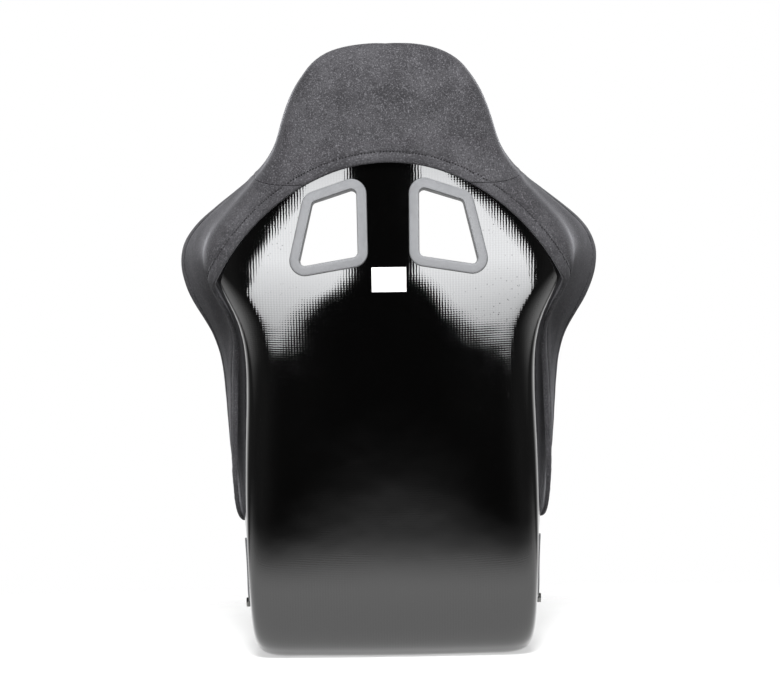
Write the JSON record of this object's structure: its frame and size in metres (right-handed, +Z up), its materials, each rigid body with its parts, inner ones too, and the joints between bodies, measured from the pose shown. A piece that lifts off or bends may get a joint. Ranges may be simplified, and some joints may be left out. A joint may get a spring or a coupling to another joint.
{
  "type": "fixed-back racing seat",
  "caption": "Fixed-back bucket racing seat: moulded shell with hooded fabric cover, side wings, padded inside, harness, lap and crotch strap slots and bolted side mounts.",
  "frame": {"origin": "on the flat underside of the pan, in the middle plane; the seat stands on z = 0", "axes": "+Z up, -Y the way the sitter faces, +X the sitter's left"},
  "size_m": [0.5956, 0.6507, 0.8549],
  "materials": {
    "gel_coat": "gloss",
    "cover_fabric": "suede-like",
    "pad_fabric": "suede-like",
    "bezel_plastic": "satin",
    "label_foil": "satin",
    "zinc_steel": "zinc plated"
  },
  "bodies": {
    "root": {"shell": "gel_coat", "front_cover": "cover_fabric", "head_cover": "cover_fabric", "side_cover_left": "cover_fabric", "side_cover_right": "cover_fabric", "seat_cushion": "pad_fabric", "lumbar_pad": "pad_fabric", "back_pad": "pad_fabric", "harness_panel": "pad_fabric", "head_pad": "pad_fabric", "thigh_bolster_left": "pad_fabric", "thigh_bolster_right": "pad_fabric", "hip_pad_left": "pad_fabric", "hip_pad_right": "pad_fabric", "torso_bolster_left": "pad_fabric", "torso_bolster_right": "pad_fabric", "shoulder_pad_left": "pad_fabric", "shoulder_pad_right": "pad_fabric", "harness_bezel_rear_left": "bezel_plastic", "harness_bezel_rear_right": "bezel_plastic", "harness_bezel_front_left": "bezel_plastic", "harness_bezel_front_right": "bezel_plastic", "lap_bezel_outer_left": "bezel_plastic", "lap_bezel_outer_right": "bezel_plastic", "lap_bezel_inner_left": "bezel_plastic", "lap_bezel_inner_right": "bezel_plastic", "crotch_bezel_lower": "bezel_plastic", "crotch_bezel_upper": "bezel_plastic", "rating_label": "label_foil", "bolt_rear_left": "zinc_steel", "bolt_rear_right": "zinc_steel", "bolt_front_left": "zinc_steel", "bolt_front_right": "zinc_steel", "washer_rear_left": "zinc_steel", "washer_rear_right": "zinc_steel", "washer_front_left": "zinc_steel", "washer_front_right": "zinc_steel", "captive_nut_rear_left": "zinc_steel", "captive_nut_rear_right": "zinc_steel", "captive_nut_front_left": "zinc_steel", "captive_nut_front_right": "zinc_steel", "backing_plate_rear_left": "zinc_steel", "backing_plate_rear_right": "zinc_steel", "backing_plate_front_left": "zinc_steel", "backing_plate_front_right": "zinc_steel"}
  },
  "joints": []
}
